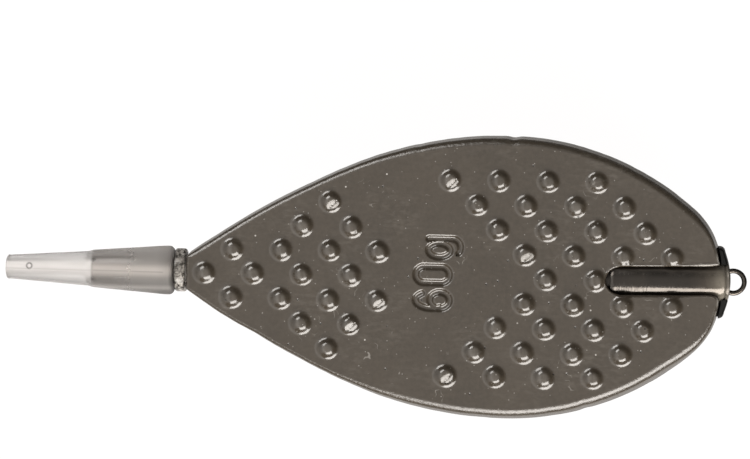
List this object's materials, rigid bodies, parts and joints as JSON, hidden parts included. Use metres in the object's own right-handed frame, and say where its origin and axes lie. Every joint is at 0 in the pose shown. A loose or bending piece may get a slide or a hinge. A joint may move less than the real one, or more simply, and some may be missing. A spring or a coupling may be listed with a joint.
{
  "type": "fishing feeder",
  "caption": "In-line flat method feeder: leaf-shaped weight with grip studs over a ribbed bait cage, on a hollow line insert with a nose swivel and a soft tapered tail sleeve.",
  "frame": {"origin": "centre of the bounding box in plan, on the plane that the cage's inner ribs rest on", "axes": "+X along the line axis from the tail sleeve to the nose swivel, +Y across the feeder, +Z the outward normal of the grip face with the studs"},
  "size_m": [0.0838, 0.032, 0.0148],
  "materials": {
    "coated_lead": "gloss",
    "cage_plastic": "satin",
    "smoke_plastic": "gloss",
    "collar_plastic": "gloss",
    "clear_sleeve": "gloss",
    "swivel_metal": "satin"
  },
  "bodies": {
    "feeder": {"lead_weight": "coated_lead", "bait_cage": "cage_plastic", "insert_tube": "smoke_plastic", "tail_collar": "collar_plastic"},
    "sleeve": {"tail_sleeve": "clear_sleeve"},
    "swivel": {"swivel_barrel": "swivel_metal"},
    "front_eye": {"swivel_front_eye": "swivel_metal"},
    "rear_eye": {"swivel_rear_eye": "swivel_metal"}
  },
  "joints": [
    {"name": "sleeve_pull", "type": "slide", "parent": "feeder", "child": "sleeve", "axis": [-1, 0, 0], "range_m": [0, 0.009]},
    {"name": "swivel_pull", "type": "slide", "parent": "feeder", "child": "swivel", "axis": [1, 0, 0], "range_m": [0, 0.012]},
    {"name": "front_eye_spin", "type": "hinge", "parent": "swivel", "child": "front_eye", "pos_m": [0.038, 0, 0.0118], "axis": [1, 0, 0], "continuous": true},
    {"name": "rear_eye_spin", "type": "hinge", "parent": "swivel", "child": "rear_eye", "pos_m": [0.0339, 0, 0.0118], "axis": [1, 0, 0], "continuous": true}
  ]
}
